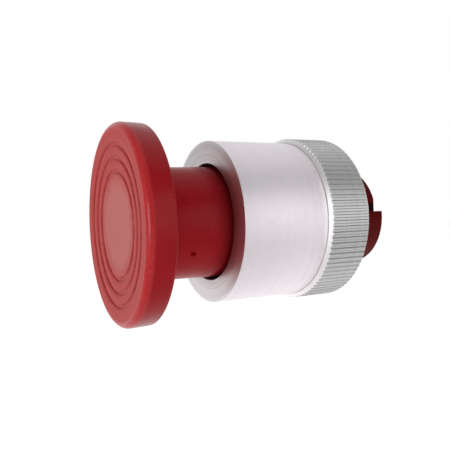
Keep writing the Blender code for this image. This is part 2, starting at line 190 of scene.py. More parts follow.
def group_with_sockets(name, numbers, outputs):
    """A shader node group with named number inputs, each (name, default), and value outputs."""
    group = bpy.data.node_groups.new(name, "ShaderNodeTree")
    for label, value in numbers:
        socket = group.interface.new_socket(label, in_out="INPUT", socket_type="NodeSocketFloat")
        socket.default_value = value
    for label in outputs:
        group.interface.new_socket(label, in_out="OUTPUT", socket_type="NodeSocketFloat")
    return group, group.nodes.new("NodeGroupInput"), group.nodes.new("NodeGroupOutput")


def add_node(tree, kind, links=(), **settings):
    """A node with its settings, and its inputs given as (input, socket or constant) pairs."""
    node = tree.nodes.new(kind)
    for setting, value in settings.items():
        setattr(node, setting, value)
    for socket, source in links:
        if isinstance(source, bpy.types.NodeSocket):
            tree.links.new(source, node.inputs[socket])
        else:
            node.inputs[socket].default_value = source
    return node


def turning_marks_group():
    """Rings left by a lathe: height changes with distance from the Y axis and along it, not round it."""
    group, given, out = group_with_sockets(
        "turning_marks", [("Rings per metre", 9000.0)], ["Height", "Shade"])
    place = add_node(group, "ShaderNodeTexCoord").outputs["Object"]
    split = add_node(group, "ShaderNodeSeparateXYZ", [(0, place)])
    flat = add_node(group, "ShaderNodeCombineXYZ", [("X", split.outputs["X"]), ("Z", split.outputs["Z"])])
    radius = add_node(group, "ShaderNodeVectorMath", [(0, flat.outputs[0])], operation="LENGTH")
    along = add_node(group, "ShaderNodeCombineXYZ", [
        ("X", radius.outputs["Value"]), ("Y", split.outputs["Y"])])
    fine = add_node(group, "ShaderNodeTexNoise", [
        ("Vector", along.outputs[0]), ("Scale", given.outputs["Rings per metre"]), ("Detail", 3.0)])
    broad = add_node(group, "ShaderNodeTexNoise", [
        ("Vector", along.outputs[0]), ("Scale", 900.0), ("Detail", 2.0)])
    both = add_node(group, "ShaderNodeMath", [
        (0, broad.outputs["Fac"]), (1, 0.35), (2, fine.outputs["Fac"])], operation="MULTIPLY_ADD")
    group.links.new(both.outputs[0], out.inputs["Height"])
    group.links.new(broad.outputs["Fac"], out.inputs["Shade"])
    return group


def handling_group():
    """Smudges and fine scuffs from hands: a soft cloud for the smudges and thin broken lines for scuffs."""
    group, given, out = group_with_sockets("handling", [("Cloud size", 0.006), ("Scuff density", 1.0)],
                                           ["Smudge", "Scuff"])
    place = add_node(group, "ShaderNodeTexCoord").outputs["Object"]
    cloud_scale = add_node(group, "ShaderNodeMath", [
        (0, 1.0), (1, given.outputs["Cloud size"])], operation="DIVIDE")
    cloud = add_node(group, "ShaderNodeTexNoise", [
        ("Vector", place), ("Scale", cloud_scale.outputs[0]), ("Detail", 5.0), ("Roughness", 0.6)])
    streaks = add_node(group, "ShaderNodeMapping", [
        ("Vector", place), ("Rotation", (0.3, 0.9, 0.5)), ("Scale", (2600.0, 240.0, 2600.0))])
    lines = add_node(group, "ShaderNodeTexNoise", [
        ("Vector", streaks.outputs[0]), ("Scale", 1.0), ("Detail", 1.0)])
    thin = add_node(group, "ShaderNodeMapRange", [
        ("Value", lines.outputs["Fac"]), ("From Min", 0.70), ("From Max", 0.76)])
    scuff = add_node(group, "ShaderNodeMath", [
        (0, thin.outputs["Result"]), (1, given.outputs["Scuff density"])], operation="MULTIPLY")
    group.links.new(cloud.outputs["Fac"], out.inputs["Smudge"])
    group.links.new(scuff.outputs[0], out.inputs["Scuff"])
    return group


def band_group():
    """A mask that is 1 while a distance or height lies between two limits, with soft, uneven borders."""
    group, given, out = group_with_sockets(
        "band", [("Position", 0.0), ("Start", 0.0), ("End", 0.0), ("Softness", 0.0002), ("Unevenness", 0.0)],
        ["Mask"])
    place = add_node(group, "ShaderNodeTexCoord").outputs["Object"]
    noise = add_node(group, "ShaderNodeTexNoise", [("Vector", place), ("Scale", 500.0), ("Detail", 4.0)])
    centred = add_node(group, "ShaderNodeMath", [(0, noise.outputs["Fac"]), (1, 0.5)], operation="SUBTRACT")
    moved = add_node(group, "ShaderNodeMath", [
        (0, centred.outputs[0]), (1, given.outputs["Unevenness"]), (2, given.outputs["Position"])],
        operation="MULTIPLY_ADD")
    sides = []
    for limit, direction in (("Start", 1.0), ("End", -1.0)):
        past = add_node(group, "ShaderNodeMath", [(0, moved.outputs[0]), (1, given.outputs[limit])],
                        operation="SUBTRACT")
        share = add_node(group, "ShaderNodeMath", [(0, past.outputs[0]), (1, given.outputs["Softness"])],
                         operation="DIVIDE")
        side = add_node(group, "ShaderNodeMath", [(0, share.outputs[0]), (1, direction), (2, 0.5)],
                        operation="MULTIPLY_ADD", use_clamp=True)
        sides.append(side.outputs[0])
    mask = add_node(group, "ShaderNodeMath", [(0, sides[0]), (1, sides[1])], operation="MULTIPLY")
    group.links.new(mask.outputs[0], out.inputs["Mask"])
    return group


def film_group():
    """The broken cover of dust, bloom or fine wear, which also breaks up painted sheen, painted light and
    painted shade: small spots between a least cover and a full one.
    """
    group, given, out = group_with_sockets(
        "film", [("Spots per metre", 1600.0), ("Least cover", 0.3)], ["Mask"])
    place = add_node(group, "ShaderNodeTexCoord").outputs["Object"]
    spots = add_node(group, "ShaderNodeTexNoise", [
        ("Vector", place), ("Scale", given.outputs["Spots per metre"]), ("Detail", 6.0), ("Roughness", 0.65)])
    cover = add_node(group, "ShaderNodeMapRange", [
        ("Value", spots.outputs["Fac"]), ("From Min", 0.36), ("From Max", 0.64),
        ("To Min", given.outputs["Least cover"])])
    group.links.new(cover.outputs[0], out.inputs["Mask"])
    return group


TURNING = turning_marks_group()
HANDLING = handling_group()
BAND = band_group()
FILM = film_group()


def place_group(tree, group, **numbers):
    """A copy of a shader group in a material; underscores in the names stand for spaces."""
    node = tree.nodes.new("ShaderNodeGroup")
    node.node_tree = group
    for label, value in numbers.items():
        node.inputs[label.replace("_", " ")].default_value = value
    return node


def between(tree, factor, low, high):
    """A number that runs from low to high as the factor runs from 0 to 1."""
    return add_node(tree, "ShaderNodeMapRange", [
        ("Value", factor), ("To Min", low), ("To Max", high)]).outputs[0]


def tint(tree, factor, first, second):
    """A colour that runs from the first to the second with the factor."""
    mix = add_node(tree, "ShaderNodeMix", [(0, factor)], data_type="RGBA")
    for socket, colour in zip(("A_Color", "B_Color"), (first, second)):
        found = next(s for s in mix.inputs if s.identifier == socket)
        if isinstance(colour, bpy.types.NodeSocket):
            tree.links.new(colour, found)
        else:
            found.default_value = (*colour, 1)
    return next(s for s in mix.outputs if s.identifier == "Result_Color")


def calculate(tree, operation, *numbers):
    """One Math node, with sockets or constants as its inputs."""
    return add_node(tree, "ShaderNodeMath", list(enumerate(numbers)), operation=operation).outputs[0]


def coordinate(tree, axis):
    """The place along X, Y or Z, the distance from the Y axis for R, or the angle round it for TURN."""
    place = add_node(tree, "ShaderNodeTexCoord").outputs["Object"]
    split = add_node(tree, "ShaderNodeSeparateXYZ", [(0, place)])
    if axis == "TURN":
        return calculate(tree, "ARCTAN2", split.outputs["Z"], split.outputs["X"])
    if axis == "R":
        flat = add_node(tree, "ShaderNodeCombineXYZ", [("X", split.outputs["X"]), ("Z", split.outputs["Z"])])
        length = add_node(tree, "ShaderNodeVectorMath", [(0, flat.outputs[0])], operation="LENGTH")
        return length.outputs["Value"]
    return split.outputs[axis]


def band(tree, along, start, end, soft, uneven=0.0):
    """A mask that is 1 between two places along a coordinate, given by its letter or as a socket."""
    node = place_group(tree, BAND, Start=start, End=end, Softness=soft, Unevenness=uneven)
    position = coordinate(tree, along) if isinstance(along, str) else along
    tree.links.new(position, node.inputs["Position"])
    return node.outputs["Mask"]


def product(tree, first, second):
    """Two masks, or a mask and a strength, multiplied."""
    return calculate(tree, "MULTIPLY", first, second)


def film(tree, mask, least, spots_per_metre=1600.0):
    """A mask broken up into a film of small spots that covers at least a given share."""
    return product(tree, mask, place_group(
        tree, FILM, Spots_per_metre=spots_per_metre, Least_cover=least).outputs["Mask"])


def repeats(tree, position, middle, spacing):
    """Distance from the nearest of a row of equally spaced places."""
    steps = calculate(tree, "DIVIDE", calculate(tree, "SUBTRACT", position, middle), spacing)
    share = calculate(tree, "FRACT", calculate(tree, "ADD", steps, 0.5))
    distance = calculate(tree, "ABSOLUTE", calculate(tree, "SUBTRACT", share, 0.5))
    return calculate(tree, "MULTIPLY", distance, spacing)


def wash(material, mask, colour, rough=None):
    """Lays another colour, and if given another roughness, over a finished material where the mask is 1."""
    tree = material.node_tree
    shader = tree.nodes["Principled BSDF"]
    under = shader.inputs["Base Color"].links[0].from_socket
    tree.links.new(tint(tree, mask, under, colour), shader.inputs["Base Color"])
    if rough is not None:
        under = shader.inputs["Roughness"].links[0].from_socket
        gap = add_node(tree, "ShaderNodeMath", [(0, rough), (1, under)], operation="SUBTRACT")
        mixed = add_node(tree, "ShaderNodeMath", [(0, gap.outputs[0]), (1, mask), (2, under)],
                         operation="MULTIPLY_ADD")
        tree.links.new(mixed.outputs[0], shader.inputs["Roughness"])


def turned_metal(name, dark, light, rough, marks, rings_per_metre=9000.0, scuffs=1.0):
    """A lathe-turned metal: dark and light are its colours, rough its roughness limits, marks its cut depth."""
    material = bpy.data.materials.new(name)
    material.use_nodes = True
    tree = material.node_tree
    shader = tree.nodes["Principled BSDF"]
    shader.inputs["Metallic"].default_value = 1.0
    lathe = place_group(tree, TURNING, Rings_per_metre=rings_per_metre)
    hands = place_group(tree, HANDLING, Cloud_size=0.007, Scuff_density=scuffs)
    body = tint(tree, between(tree, lathe.outputs["Shade"], -0.3, 1.3), dark, light)
    tree.links.new(body, shader.inputs["Base Color"])
    base = between(tree, hands.outputs["Smudge"], rough[0], rough[1])
    scuffed = add_node(tree, "ShaderNodeMath", [(0, hands.outputs["Scuff"]), (1, 0.12), (2, base)],
                       operation="MULTIPLY_ADD")
    tree.links.new(scuffed.outputs[0], shader.inputs["Roughness"])
    bump = add_node(tree, "ShaderNodeBump", [("Strength", 1.0), ("Distance", marks),
                                             ("Height", lathe.outputs["Height"])])
    tree.links.new(bump.outputs[0], shader.inputs["Normal"])
    return material


def dress(piece, material, body, slot, *nodes):
    """Gives a new piece its material and its body, and hides the CAD nodes that it stands for. The slot is not
    used.
    """
    piece.data.materials.clear()
    piece.data.materials.append(material)
    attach(piece, body)
    if nodes:
        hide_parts(*nodes)


collar_low, collar_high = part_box("front_collar")
collar_radius = collar_high.x
lip_bore = 12.25 * MM
lip_depth = 1.4 * MM
collar_bore = 13.9 * MM
shoulder_y = -10.6 * MM
thread_core = 15.0 * MM
thread_crest = 15.9 * MM
thread_pitch = 1.5 * MM
collar = turn("collar_sleeve", [
    (lip_bore, collar_low.y),
    (collar_radius, collar_low.y),
    (collar_radius, shoulder_y),
    (thread_core, shoulder_y),
    (thread_core, collar_high.y),
    (collar_bore, collar_high.y),
    (collar_bore, collar_low.y + lip_depth),
    (lip_bore, collar_low.y + lip_depth),
], 192)
break_edges(collar, 0.10 * MM)
ridge = helical_ridge("thread_ridge", thread_core - 0.15 * MM, thread_crest, thread_pitch, 3, -9.4 * MM)
join_shape(collar, ridge, "UNION")
satin_aluminium = turned_metal(
    "satin_aluminium", (0.88, 0.83, 0.86), (0.94, 0.89, 0.925), (0.50, 0.58), 0.004 * MM)
bpy.ops.object.shade_smooth_by_angle(angle=math.radians(35))
tree = satin_aluminium.node_tree
wash(satin_aluminium, film(tree, 0.6, 0.0, 900.0), (0.96, 0.90, 0.94))
lip_face = band(tree, "Y", -1.0, collar_low.y + 0.06 * MM, 0.06 * MM)
# Painted shade: the lip face is coloured darker than the rest of the sleeve, standing in for the dimmer
# reflection it shows; its roughness is also set lower.
wash(satin_aluminium, lip_face, (0.75, 0.71, 0.73), 0.38)
facing_cuts = between(tree, place_group(tree, TURNING, Rings_per_metre=2500.0).outputs["Height"], -4.0, 3.0)
wash(satin_aluminium, product(tree, lip_face, product(tree, facing_cuts, 0.45)), (0.60, 0.57, 0.58))
dress(collar, satin_aluminium, "housing", "satin_aluminium", "front_collar")


# ---- Seal, guide bush and buffer inside the collar ----------------------------------------------
# Behind the lip sit a rubber wiper seal and the steel washer that keeps it in place, then the
# acetal bush that the neck slides in and a rubber ring that takes the blow when the button is hit.

def rubber(name, colour, rough):
    """Moulded rubber: a matt skin with a fine bloom and faint grain."""
    material = bpy.data.materials.new(name)
    material.use_nodes = True
    tree = material.node_tree
    shader = tree.nodes["Principled BSDF"]
    shader.inputs["Specular IOR Level"].default_value = 0.35
    hands = place_group(tree, HANDLING, Cloud_size=0.004, Scuff_density=0.4)
    bloom = [value + 0.03 for value in colour]
    tree.links.new(tint(tree, hands.outputs["Smudge"], colour, bloom), shader.inputs["Base Color"])
    uneven = between(tree, hands.outputs["Smudge"], rough - 0.12, rough + 0.12)
    tree.links.new(uneven, shader.inputs["Roughness"])
    place = add_node(tree, "ShaderNodeTexCoord").outputs["Object"]
    grain = add_node(tree, "ShaderNodeTexNoise", [("Vector", place), ("Scale", 5000.0), ("Detail", 3.0)])
    bump = add_node(tree, "ShaderNodeBump", [("Strength", 0.6), ("Distance", 0.02 * MM),
                                             ("Height", grain.outputs["Fac"])])
    tree.links.new(bump.outputs[0], shader.inputs["Normal"])
    return material


def moulding_group():
    """Surface of a plastic moulding: fine spark grain with a slower orange-peel swell, and a mottle."""
    group, given, out = group_with_sockets(
        "moulding", [("Grain per metre", 7000.0), ("Swell share", 0.6)], ["Height", "Mottle"])
    place = add_node(group, "ShaderNodeTexCoord").outputs["Object"]
    grain = add_node(group, "ShaderNodeTexNoise", [
        ("Vector", place), ("Scale", given.outputs["Grain per metre"]), ("Detail", 3.0)])
    swell = add_node(group, "ShaderNodeTexNoise", [("Vector", place), ("Scale", 420.0), ("Detail", 1.0)])
    both = add_node(group, "ShaderNodeMath", [
        (0, swell.outputs["Fac"]), (1, given.outputs["Swell share"]), (2, grain.outputs["Fac"])],
        operation="MULTIPLY_ADD")
    mottle = add_node(group, "ShaderNodeTexNoise", [("Vector", place), ("Scale", 260.0), ("Detail", 4.0)])
    group.links.new(both.outputs[0], out.inputs["Height"])
    group.links.new(mottle.outputs["Fac"], out.inputs["Mottle"])
    return group


MOULDING = moulding_group()


def plastic(name, deep, bright, rough, specular=0.5, grain=0.010 * MM):
    """Moulded plastic: deep and bright are its colours, rough its low and high roughness."""
    material = bpy.data.materials.new(name)
    material.use_nodes = True
    tree = material.node_tree
    shader = tree.nodes["Principled BSDF"]
    shader.inputs["Specular IOR Level"].default_value = specular
    mould = place_group(tree, MOULDING)
    hands = place_group(tree, HANDLING, Cloud_size=0.005, Scuff_density=1.0)
    body = tint(tree, between(tree, mould.outputs["Mottle"], -0.4, 1.4), deep, bright)
    tree.links.new(body, shader.inputs["Base Color"])
    base = between(tree, hands.outputs["Smudge"], rough[0], rough[1])
    scuffed = add_node(tree, "ShaderNodeMath", [(0, hands.outputs["Scuff"]), (1, 0.15), (2, base)],
                       operation="MULTIPLY_ADD")
    tree.links.new(scuffed.outputs[0], shader.inputs["Roughness"])
    bump = add_node(tree, "ShaderNodeBump", [("Strength", 1.0), ("Distance", grain),
                                             ("Height", mould.outputs["Height"])])
    tree.links.new(bump.outputs[0], shader.inputs["Normal"])
    return material


def refinish(node, material):
    """Gives a CAD node that keeps its shape a better material."""
    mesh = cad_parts[node].data
    mesh.materials.clear()
    mesh.materials.append(material)


def blunt(points, radius, steps=3):
    """A profile with each corner rounded: every corner is replaced by a few points of a curve."""
    rounded = []
    count = len(points)
    for index, corner in enumerate(points):
        here = Vector(corner)
        before = (Vector(points[index - 1]) - here)
        after = (Vector(points[(index + 1) % count]) - here)
        reach = min(radius, before.length * 0.45, after.length * 0.45)
        first, last = here + before.normalized() * reach, here + after.normalized() * reach
        for step in range(steps + 1):
            share = step / steps
            spot = first * (1 - share) ** 2 + here * 2 * share * (1 - share) + last * share ** 2
            rounded.append((spot.x, spot.y))
    return rounded


black_rubber = rubber("black_rubber", (0.018, 0.018, 0.019), 0.62)
seal_low, seal_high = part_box("wiper_seal")
seal_bore = 12.15 * MM
seal_heel = 0.9 * MM
lip_thick = 0.45 * MM
seal = turn("seal_lip", blunt([
    (seal_bore - 0.12 * MM, seal_low.y),
    (seal_bore + lip_thick - 0.1 * MM, seal_low.y),
    (seal_bore + lip_thick + 0.1 * MM, seal_low.y + seal_heel),
    (seal_high.x, seal_low.y + seal_heel),
    (seal_high.x, seal_high.y),
    (seal_bore + 0.1 * MM, seal_high.y),
], 0.14 * MM), 128)
bpy.ops.object.shade_smooth_by_angle(angle=math.radians(50))
dress(seal, black_rubber, "housing", "black_rubber", "wiper_seal")
refinish("buffer_washer", black_rubber)
steel = turned_metal("bright_steel", (0.50, 0.50, 0.51), (0.66, 0.66, 0.67), (0.20, 0.32), 0.006 * MM)
refinish("seal_washer", steel)
acetal = plastic("white_acetal", (0.62, 0.61, 0.57), (0.76, 0.75, 0.71), (0.36, 0.48))
refinish("guide_bush", acetal)


# ---- Body tube, its retaining nut and O-ring ----------------------------------------------------
# Dark red moulded tube that passes through the panel. Its upper half stops short of the lower half,
# and a blind bayonet groove in each side lets the holder behind the panel grip it. A brass ring nut
# clamps the tube's flange in the collar, over an O-ring.

tube_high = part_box("body_tube")[1]
tube_radius = 10.9 * MM
tube_bore = 9.0 * MM
flange_y = (-13.1 * MM, -11.3 * MM)
spindle_hole = 3.6 * MM
upper_end_y = 7.2 * MM
slot_start_y = 2.2 * MM
slot_floor_x = 10.25 * MM
slot_z = (0.95 * MM, 2.75 * MM)
tube = turn("through_tube", [
    (spindle_hole, flange_y[0]),
    (tube_high.x, flange_y[0]),
    (tube_high.x, flange_y[1]),
    (tube_radius, flange_y[1]),
    (tube_radius, tube_high.y),
    (tube_bore, tube_high.y),
    (tube_bore, flange_y[1]),
    (spindle_hole, flange_y[1]),
], 160)


def bayonet_cutter(side):
    """One bayonet groove, cut part way into the tube's side (1 or -1), with a round corner at its mouth."""
    beyond = 14 * MM
    middle_x = side * (slot_floor_x + beyond) / 2
    middle_z = (slot_z[0] + slot_z[1]) / 2
    bpy.ops.object.select_all(action="DESELECT")
    bpy.ops.mesh.primitive_cube_add(size=1, location=(middle_x, (slot_start_y + beyond) / 2, middle_z))
    cutter = bpy.context.object
    cutter.scale = (beyond - slot_floor_x, beyond - slot_start_y, slot_z[1] - slot_z[0])
    bpy.ops.object.transform_apply(location=True, rotation=True, scale=True)
    bpy.ops.object.mode_set(mode="EDIT")
    bpy.ops.mesh.select_all(action="SELECT")
    bpy.ops.mesh.bisect(plane_co=(0, upper_end_y, 0), plane_no=(0, 1, 0))
    select_where(cutter, lambda spot: spot.z > slot_z[1] - 1e-6 and spot.y > upper_end_y, "FACE")
    bpy.ops.mesh.extrude_region_move(TRANSFORM_OT_translate={"value": (0, 0, beyond)})
    select_where(cutter, lambda spot: abs(spot.z - slot_z[1]) < 1e-6 and abs(spot.y - upper_end_y) < 1e-6
                 and abs(spot.x - middle_x) < 1e-6, "EDGE")
    bpy.ops.mesh.bevel(offset=1.1 * MM, segments=8)
    bpy.ops.mesh.select_all(action="SELECT")
    bpy.ops.mesh.normals_make_consistent(inside=False)
    bpy.ops.object.mode_set(mode="OBJECT")
    return cutter


def step_cutter():
    """The space that shortens the tube's upper half."""
    beyond = 14 * MM
    bpy.ops.object.select_all(action="DESELECT")
    bpy.ops.mesh.primitive_cube_add(
        size=1, location=(0, (upper_end_y + beyond) / 2, (slot_z[0] + beyond) / 2))
    cutter = bpy.context.object
    cutter.scale = (2 * beyond, beyond - upper_end_y, beyond - slot_z[0])
    bpy.ops.object.transform_apply(location=True, rotation=True, scale=True)
    return cutter


def split_end_face(piece, end_y, parts):
    """Divides the curved end face at a height into short sectors, which keeps every face simple."""
    bpy.ops.object.mode_set(mode="EDIT")
    for part in range(1, parts):
        angle = math.pi * part / parts
        select_where(piece, lambda spot: abs(spot.y - end_y) < 1e-6, "FACE")
        bpy.ops.mesh.bisect(plane_co=(0, end_y, 0), plane_no=(-math.sin(angle), 0, math.cos(angle)))
    bpy.ops.object.mode_set(mode="OBJECT")
    merge_slivers()


for cutter in (step_cutter(), bayonet_cutter(1), bayonet_cutter(-1)):
    join_shape(tube, cutter, "DIFFERENCE")
split_end_face(tube, upper_end_y, 20)
break_edges(tube, 0.12 * MM, segments=2)
tube_plastic = plastic("tube_plastic", (0.095, 0.001, 0.002), (0.135, 0.002, 0.003), (0.42, 0.54), 0.03)
tree = tube_plastic.node_tree
# Painted shade: the floor and walls of each bayonet groove are painted almost black, standing in for the shadow
# inside the groove.
painted_slot_shade = product(tree, band(tree, "Z", slot_z[0], slot_z[1] + 0.5 * MM, 0.3 * MM), band(
    tree, "R", 0, tube_radius - 0.12 * MM, 0.15 * MM))
wash(tube_plastic, product(tree, painted_slot_shade, 0.92), (0.008, 0.001, 0.001))
dress(tube, tube_plastic, "housing", "tube_plastic", "body_tube")

o_low, o_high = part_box("tube_o_ring")
cord_radius = (o_high.y - o_low.y) / 2
o_centre = (o_high.x - cord_radius, (o_low.y + o_high.y) / 2)
o_ring = turn("o_ring", [
    (o_centre[0] + cord_radius * math.cos(2 * math.pi * step / 20),
     o_centre[1] - cord_radius * math.sin(2 * math.pi * step / 20)) for step in range(20)], 128)
bpy.ops.object.shade_smooth()
dress(o_ring, black_rubber, "housing", "black_rubber", "tube_o_ring")
brass = turned_metal("turned_brass", (0.62, 0.42, 0.16), (0.80, 0.58, 0.27), (0.22, 0.36), 0.008 * MM)
refinish("retaining_nut", brass)


# ---- Latch block, clip and circlip --------------------------------------------------------------
# The acetal block in the tube guides the spindle and holds an open ring of spring wire. The wire
# snaps into one of the spindle's two grooves, so that the button stays pulled out or pushed in.

def drawn_wire(name, dark, light):
    """Spring wire: fine draw lines under a thin oil film."""
    material = turned_metal(name, dark, light, (0.22, 0.34), 0.004 * MM, 16000.0, 0.5)
    shader = material.node_tree.nodes["Principled BSDF"]
    shader.inputs["Coat Weight"].default_value = 0.15
    shader.inputs["Coat Roughness"].default_value = 0.3
    return material


refinish("latch_block", acetal)
spring_wire = drawn_wire("spring_wire", (0.32, 0.32, 0.34), (0.48, 0.48, 0.50))
refinish("latch_clip", spring_wire)
refinish("inner_circlip", spring_wire)


# ---- Return spring ------------------------------------------------------------------------------
# Compression spring of round wire, coiled round the spindle in the hollow neck. Its end turns are
# ground flat on the spring cup and on the tube's flange. It shortens as the button is pushed in.

spring_low, spring_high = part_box("return_spring")
wire_radius = 0.55 * MM
coil_radius = 6.0 * MM
coil_turns = 7
bpy.ops.object.select_all(action="DESELECT")
bpy.ops.mesh.primitive_circle_add(
    vertices=14, radius=wire_radius, location=(coil_radius, spring_low.y + wire_radius, 0))
spring = bpy.context.object
spring.name = "coil_spring"
bpy.ops.object.transform_apply(location=True, rotation=True, scale=True)
coil_length = spring_high.y - spring_low.y - 2 * wire_radius
apply_modifier(
    spring, "SCREW", axis="Y", angle=2 * math.pi, screw_offset=coil_length / coil_turns,
    iterations=coil_turns, steps=40, render_steps=40, use_merge_vertices=False)
bpy.ops.object.mode_set(mode="EDIT")
bpy.ops.mesh.select_mode(type="EDGE")
bpy.ops.mesh.select_all(action="DESELECT")
bpy.ops.mesh.select_non_manifold()
bpy.ops.mesh.fill_holes(sides=0)
bpy.ops.mesh.select_all(action="SELECT")
bpy.ops.mesh.normals_make_consistent(inside=False)
bpy.ops.object.mode_set(mode="OBJECT")
bpy.ops.object.shade_smooth_by_angle(angle=math.radians(50))
dress(spring, spring_wire, "housing", "spring_steel", "return_spring")
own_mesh(spring)


# ---- Mushroom head ------------------------------------------------------------------------------
# Red moulded disc that the palm hits: a shallow hollow face with three cut rings, a rounded rim and
# a plain back. A brass insert in its rear boss screws onto the spindle.

head_low, head_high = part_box("mushroom_head")
head_radius = head_high.x
face_y = head_low.y
back_y = -44.3 * MM
front_round = 1.3 * MM
back_round = 0.5 * MM
dish_depth = 1.0 * MM
ring_grooves = (10.55 * MM, 13.1 * MM, 15.7 * MM)
groove_half = 0.46 * MM
groove_depth = 0.26 * MM
boss_radius = 5.4 * MM
boss_end_y = -41.8 * MM
insert_hole_radius = 4.2 * MM
insert_hole_floor_y = -47.5 * MM


def dish(radius):
    """Height of the hollow face at a radius."""
    return face_y + dish_depth * (1 - (radius / (head_radius - front_round)) ** 2)


def groove(middle):
    """A shallow ring groove with sloping walls and a flat floor, its corners eased."""
    wall = ((1.0, 0.0), (0.93, 0.10), (0.72, 0.90), (0.62, 1.0))
    across = [(-share, depth) for share, depth in wall] + list(reversed(wall))
    return [(middle + share * groove_half, dish(middle + share * groove_half) + depth * groove_depth)
            for share, depth in across]


def rounding(centre, radius, start, end, steps):
    """Points round an arc of a profile; 0 degrees points outwards, 90 towards the front."""
    points = []
    for step in range(steps + 1):
        angle = math.radians(start + (end - start) * step / steps)
        points.append((centre[0] + radius * math.cos(angle), centre[1] - radius * math.sin(angle)))
    return points


face = [(0, dish(0))] + [(radius * MM, dish(radius * MM)) for radius in (2, 4, 6, 8, 9.4)]
for middle in ring_grooves:
    face += groove(middle) + [(middle + 1.3 * MM, dish(middle + 1.3 * MM))]
rim = rounding((head_radius - front_round, face_y + front_round), front_round, 90, 0, 10)
heel = rounding((head_radius - 0.1 * MM - back_round, back_y - back_round), back_round, 0, -90, 5)
head = turn("palm_head", face + rim + heel + [
    (boss_radius, back_y),
    (boss_radius, boss_end_y),
    (insert_hole_radius, boss_end_y),
    (insert_hole_radius, insert_hole_floor_y),
    (0, insert_hole_floor_y),
], 192)
bpy.ops.object.shade_smooth_by_angle(angle=math.radians(50))
red_plastic = plastic("red_plastic", (0.33, 0.003, 0.007), (0.37, 0.004, 0.010), (0.22, 0.32), 0.17)
tree = red_plastic.node_tree
matt_face_and_sheen = product(tree, band(tree, "R", -1.0, head_radius - 1.3 * MM, 0.7 * MM), band(
    tree, "Y", -1.0, back_y - 3.0 * MM, 0.1 * MM))
polished_rim_with_painted_light = product(tree, band(tree, "R", head_radius - 1.7 * MM, 1.0, 0.3 * MM), band(
    tree, "Y", -1.0, face_y + 1.3 * MM, 0.5 * MM))
# Painted light: the rounded rim is coloured a brighter, more saturated red, in spots, standing in for the light
# that the rim catches; its roughness is set for a polished rim.
wash(red_plastic, film(tree, polished_rim_with_painted_light, 0.5), (0.50, 0.030, 0.033), 0.24)
# Painted sheen: the face is coloured lighter and pinker than the side, standing in for the soft light it
# reflects, then spotted lighter still; the higher roughness is its matt finish.
wash(red_plastic, matt_face_and_sheen, (0.41, 0.038, 0.036), 0.55)
wash(red_plastic, film(tree, matt_face_and_sheen, 0.0, 3200.0), (0.475, 0.060, 0.055))
# Lighter, pinker spots over the middle of the face, fading out before the inner groove: partly a dusty mottle,
# partly painted sheen.
dust_and_sheen_middle = product(tree, matt_face_and_sheen, band(tree, "R", -1.0, 9.0 * MM, 3.0 * MM, 3.0 * MM))
wash(red_plastic, film(tree, dust_and_sheen_middle, 0.6, 3200.0), (0.495, 0.145, 0.134))
groove_spacing = (ring_grooves[2] - ring_grooves[0]) / 2
from_groove = repeats(tree, coordinate(tree, "R"), ring_grooves[0], groove_spacing)
groove_wall = band(tree, from_groove, 0.68 * groove_half, groove_half, 0.12 * MM)
groove_zone = band(tree, "R", ring_grooves[0] - 1 * MM, ring_grooves[2] + 1 * MM, 0.2 * MM)
painted_groove_shade = product(tree, groove_zone, groove_wall)
# Painted shade: the walls of the three face grooves are painted a darker red, in spots, standing in for the
# shade in the grooves.
wash(red_plastic, film(tree, product(tree, painted_groove_shade, matt_face_and_sheen), 0.1, 500.0), (0.28, 0.012, 0.013))
dress(head, red_plastic, "plunger", "red_plastic", "mushroom_head")
refinish("head_insert", brass)


# ---- Neck sleeve --------------------------------------------------------------------------------
# Hollow red moulding behind the head, slightly larger towards the rear so that it leaves its mould.
# A pin in the small hole in its side holds it still while the head is screwed on.

neck_low, neck_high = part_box("neck_sleeve")
neck_front_y = neck_low.y - 0.28 * MM
neck_front_radius = 11.33 * MM
neck_rear_radius = neck_high.z
neck_bore = 8.8 * MM
web_hole = 5.7 * MM
web_y = -41.5 * MM
neck = turn("neck_tube", [
    (web_hole, neck_front_y),
    (neck_front_radius, neck_front_y),
    (neck_rear_radius, neck_high.y),
    (neck_bore, neck_high.y),
    (neck_bore, web_y),
    (web_hole, web_y),
], 160)
break_edges(neck, 0.12 * MM, segments=2)
pin_hole_y = -37.4 * MM
pin_hole_turn = math.radians(-31)
reach = neck_front_radius + 0.1 * MM
bpy.ops.object.select_all(action="DESELECT")
bpy.ops.mesh.primitive_cone_add(
    vertices=28, radius1=0.30 * MM, radius2=0.85 * MM, depth=1.2 * MM,
    location=(reach * math.cos(pin_hole_turn), pin_hole_y, reach * math.sin(pin_hole_turn)),
    rotation=(0, math.pi / 2 - pin_hole_turn, 0))
join_shape(neck, bpy.context.object, "DIFFERENCE")
bpy.ops.object.shade_smooth_by_angle(angle=math.radians(35))
sleeve_plastic = plastic("sleeve_plastic", (0.37, 0.003, 0.008), (0.43, 0.004, 0.011), (0.24, 0.34), 0.12)
tree = sleeve_plastic.node_tree
wash(sleeve_plastic, film(tree, 0.5, 0.0, 1300.0), (0.46, 0.018, 0.028))
# Painted shade: the neck is painted much darker from about 1 mm ahead of the collar's front rearwards, standing
# in for the shade inside the collar.
painted_collar_shade = band(tree, "Y", collar_low.y - 1.0 * MM, 0.0, 3.0 * MM, 1.0 * MM)
wash(sleeve_plastic, product(tree, painted_collar_shade, 0.6), (0.075, 0.001, 0.002), 0.30)
dress(neck, sleeve_plastic, "plunger", "red_plastic", "neck_sleeve")


# ---- Spindle, cup, stop ring and pusher ---------------------------------------------------------
# Steel rod down the middle, with the latch grooves and an E-ring that stops it from being pulled
# out. A slotted screw and a spring washer hold the black pusher that meets the contact blocks.

